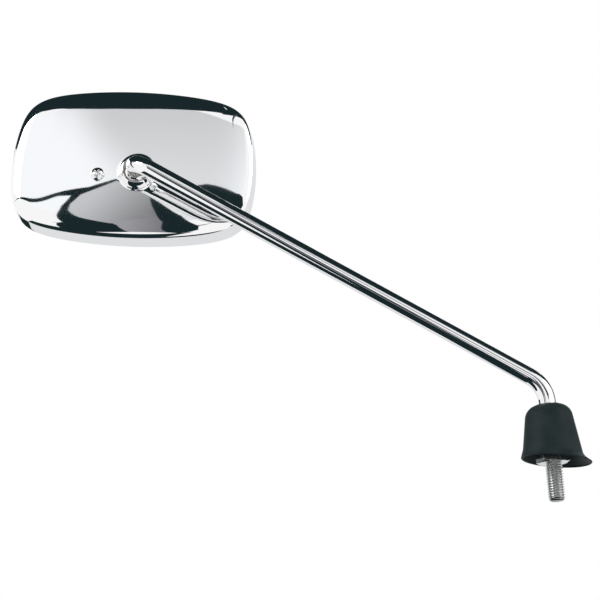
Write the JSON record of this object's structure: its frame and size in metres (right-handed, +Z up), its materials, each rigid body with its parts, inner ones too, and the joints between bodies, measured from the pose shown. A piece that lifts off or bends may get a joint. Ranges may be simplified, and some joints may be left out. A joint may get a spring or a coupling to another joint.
{
  "type": "motorcycle mirror",
  "caption": "Handlebar mirror for a motorcycle: chromed pillow-shaped head with convex glass, swivelling on a bent chrome stem with a threaded stud, lock nut and rubber boot.",
  "frame": {"origin": "on the stud's axis, in the plane where the lock nut seats", "axes": "+Z up along the stud, the head lies towards -X, the glass looks to +Y and the shell's back to -Y"},
  "size_m": [0.3146, 0.1076, 0.2785],
  "materials": {
    "chrome_bar": "bright chrome plate, bare zinc on the thread",
    "zinc_steel": "bright zinc plate",
    "boot_rubber": "matt",
    "chrome_shell": "bright chrome plate",
    "convex_mirror": "silvered, polished",
    "gasket_rubber": "matt",
    "foam": "open foam",
    "bearing_plastic": "moulded",
    "screw_steel": "bright plate",
    "dark_steel": "oiled"
  },
  "bodies": {
    "stem": {"stem": "chrome_bar", "locknut": "zinc_steel", "boot": "boot_rubber"},
    "cup": {"friction_cup": "bearing_plastic"},
    "seat": {"seat_ring": "bearing_plastic"},
    "head": {"shell": "chrome_shell", "mirror_glass": "convex_mirror", "glass_gasket": "gasket_rubber", "backing_pad": "foam", "clamp_plate": "zinc_steel", "clamp_screw": "screw_steel", "lock_washer": "dark_steel", "clamp_nut": "dark_steel"}
  },
  "joints": [
    {"name": "pan", "type": "hinge", "parent": "stem", "child": "cup", "pos_m": [-0.21991, 0.05532, 0.20355], "axis": [0.1837, 0.1357, 0.9736], "range_deg": [-8, 13]},
    {"name": "lean", "type": "hinge", "parent": "cup", "child": "seat", "pos_m": [-0.21991, 0.05532, 0.20355], "axis": [0.9775, -0.1292, -0.1664], "range_deg": [-8, 13]},
    {"name": "swivel", "type": "hinge", "parent": "seat", "child": "head", "pos_m": [-0.21991, 0.05532, 0.20355], "axis": [0.1032, 0.9823, -0.1564], "range_deg": [-45, 45]}
  ]
}
